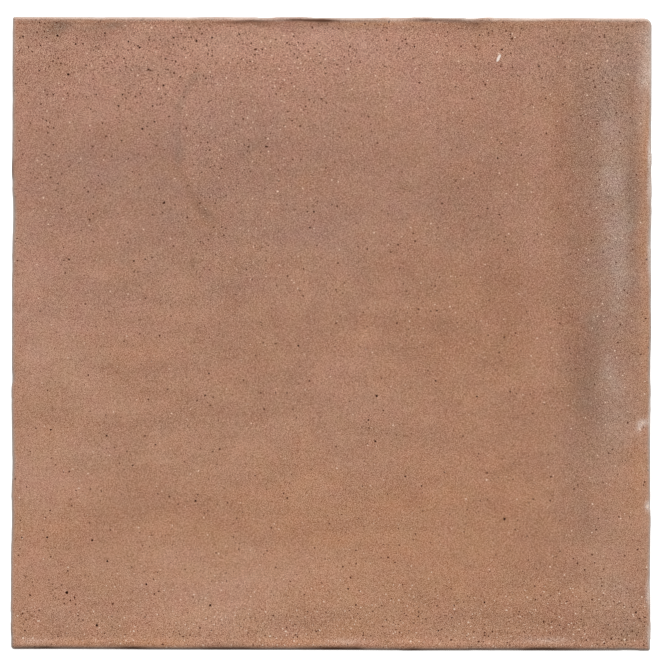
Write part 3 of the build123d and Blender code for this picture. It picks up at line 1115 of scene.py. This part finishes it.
grain_tone = (0.27, 0.187, 0.147)
up_place = kit.node("ShaderNodeSeparateXYZ", {}, [place], 1)
rear_or_front = up_place.above(60 * mm, 90 * mm) + (up_place * -1).above(70 * mm, 95 * mm)
grain = (sand - 0.5) * (5.4 + 1.3 * rear_or_front) + (coarse_sand - 0.5) * 0.25
colour = colour * (1 + (drift - 0.5) * 0.1) + grain * grain_tone
colour = kit.mix(dark_specks, colour, speck_tone)
colour = kit.mix(pale_flecks, colour, fleck_tone)

bare_mark = kit.mark("bare") * (0.55 + 0.9 * coarse_sand)
body = kit.mix(mottle.above(0.35, 0.65), body_dark, body_tone) * (1 + (sand - 0.5) * 0.4)
colour = kit.mix(bare_mark, colour, body)
# Chalk chips, and painted light along the rear and right rims.
colour = kit.mix(kit.mark("chalk") * grainy, colour, chalk_and_edge_light_tone)
# Scorch in the curl, and painted shade on the front wall, the rear lip and the side walls.
colour = kit.mix(kit.mark("burn") * (0.5 + streaks), colour, burn_and_edge_shade_tone)
colour = kit.mix(chip, colour, chalk_and_edge_light_tone)
colour = kit.mix(light_grain, colour, fleck_tone)
# The pinholes are painted dark inside, as painted shade in the holes.
colour = kit.mix(kit.mark("pit"), colour, pit_shade_tone)

# %% Surface of the face
rough = 0.72 + (sand - 0.5) * 0.25
surface_height = (sand - 0.5) * 0.6 + (coarse_sand - 0.5) * 0.8
bump = kit.node("ShaderNodeBump", {}, {"Strength": 0.5, "Distance": 0.05 * mm, "Height": surface_height})
kit.dress(tile_mesh, {
    "Base Color": colour,
    "Roughness": rough,
    "Normal": bump,
    "Specular IOR Level": 0.3,
})
print("the face's material has", len(kit.tree.nodes), "nodes")

# %% [markdown]
# ## The tile takes its place
#
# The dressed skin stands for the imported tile: the plain one is hidden, and this one rides on the same body.

# %% Riding on the model
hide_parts("tile")
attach(fired_tile, "root")

# %% [markdown]
# ## Studio
#
# The tile lies on a white floor and the camera looks straight down from high above, through a long lens, as
# for a catalogue. One wide soft key light stands behind the tile, a little to the right, because in the
# photograph the rear and right rims are bright and the front wall is dark. An even sky fills the rest. The
# floor glows a little, so that it comes out pure white, and its glow is kept off the tile.

# %% Floor
# Metres from the floor's middle to its edges, and the strength of its glow.
floor_reach = 4
floor_glow = 0.9
floor_mesh = bpy.data.meshes.new("floor")
floor_corners = [(x * floor_reach, y * floor_reach, 0) for x, y in corner_signs]
floor_mesh.from_pydata(floor_corners, [], [(0, 1, 2, 3)])
MaterialKit("white_floor").dress(floor_mesh, {
    "Base Color": (0.8, 0.8, 0.8, 1),
    "Roughness": 1,
    "Specular IOR Level": 0,
    "Emission Color": (1, 1, 1, 1),
    "Emission Strength": floor_glow,
})
floor = bpy.data.objects.new("floor", floor_mesh)
bpy.context.collection.objects.link(floor)
only_floor = bpy.data.collections.new("lit_by_the_floor")
only_floor.objects.link(floor)
floor.light_linking.receiver_collection = only_floor

# %% Light
key_data = bpy.data.lights.new("key", "AREA")
key_data.shape = "RECTANGLE"
key_data.size = 4.4
key_data.size_y = 0.8
key_data.energy = 84
key = bpy.data.objects.new("key", key_data)
key.location = (0.25, 2.1, 1.5)
key.rotation_mode = "QUATERNION"
key.rotation_quaternion = key.location.to_track_quat("Z", "Y")
key.visible_camera = False
bpy.context.collection.objects.link(key)

world = bpy.data.worlds.new("studio")
world.use_nodes = True
sky = world.node_tree.nodes["Background"]
sky.inputs["Color"].default_value = (1, 1, 1, 1)
sky.inputs["Strength"].default_value = 0.42
bpy.context.scene.world = world
bpy.context.scene.view_settings.view_transform = "Standard"

# %% Camera
# The photograph's pixels and their size on the tile, which lies a little left, low and turned in it.
picture = 665
millimetres_a_pixel = 0.3122
camera_right = 0.345 * mm
camera_up = 0.38 * mm
camera_turn = math.radians(0.15)

lens = 600
sensor = 36
shown = picture * millimetres_a_pixel * mm
camera_data = bpy.data.cameras.new("camera")
camera_data.lens = lens
camera_data.sensor_width = sensor
camera_data.clip_end = 50
camera = bpy.data.objects.new("camera", camera_data)
camera.location = (camera_right, camera_up, thickness + shown * lens / sensor)
camera.rotation_euler = (0, 0, camera_turn)
bpy.context.collection.objects.link(camera)
bpy.context.scene.camera = camera
print("the camera stands", round(camera.location.z, 2), "m up and sees", round(shown / mm, 1), "mm")
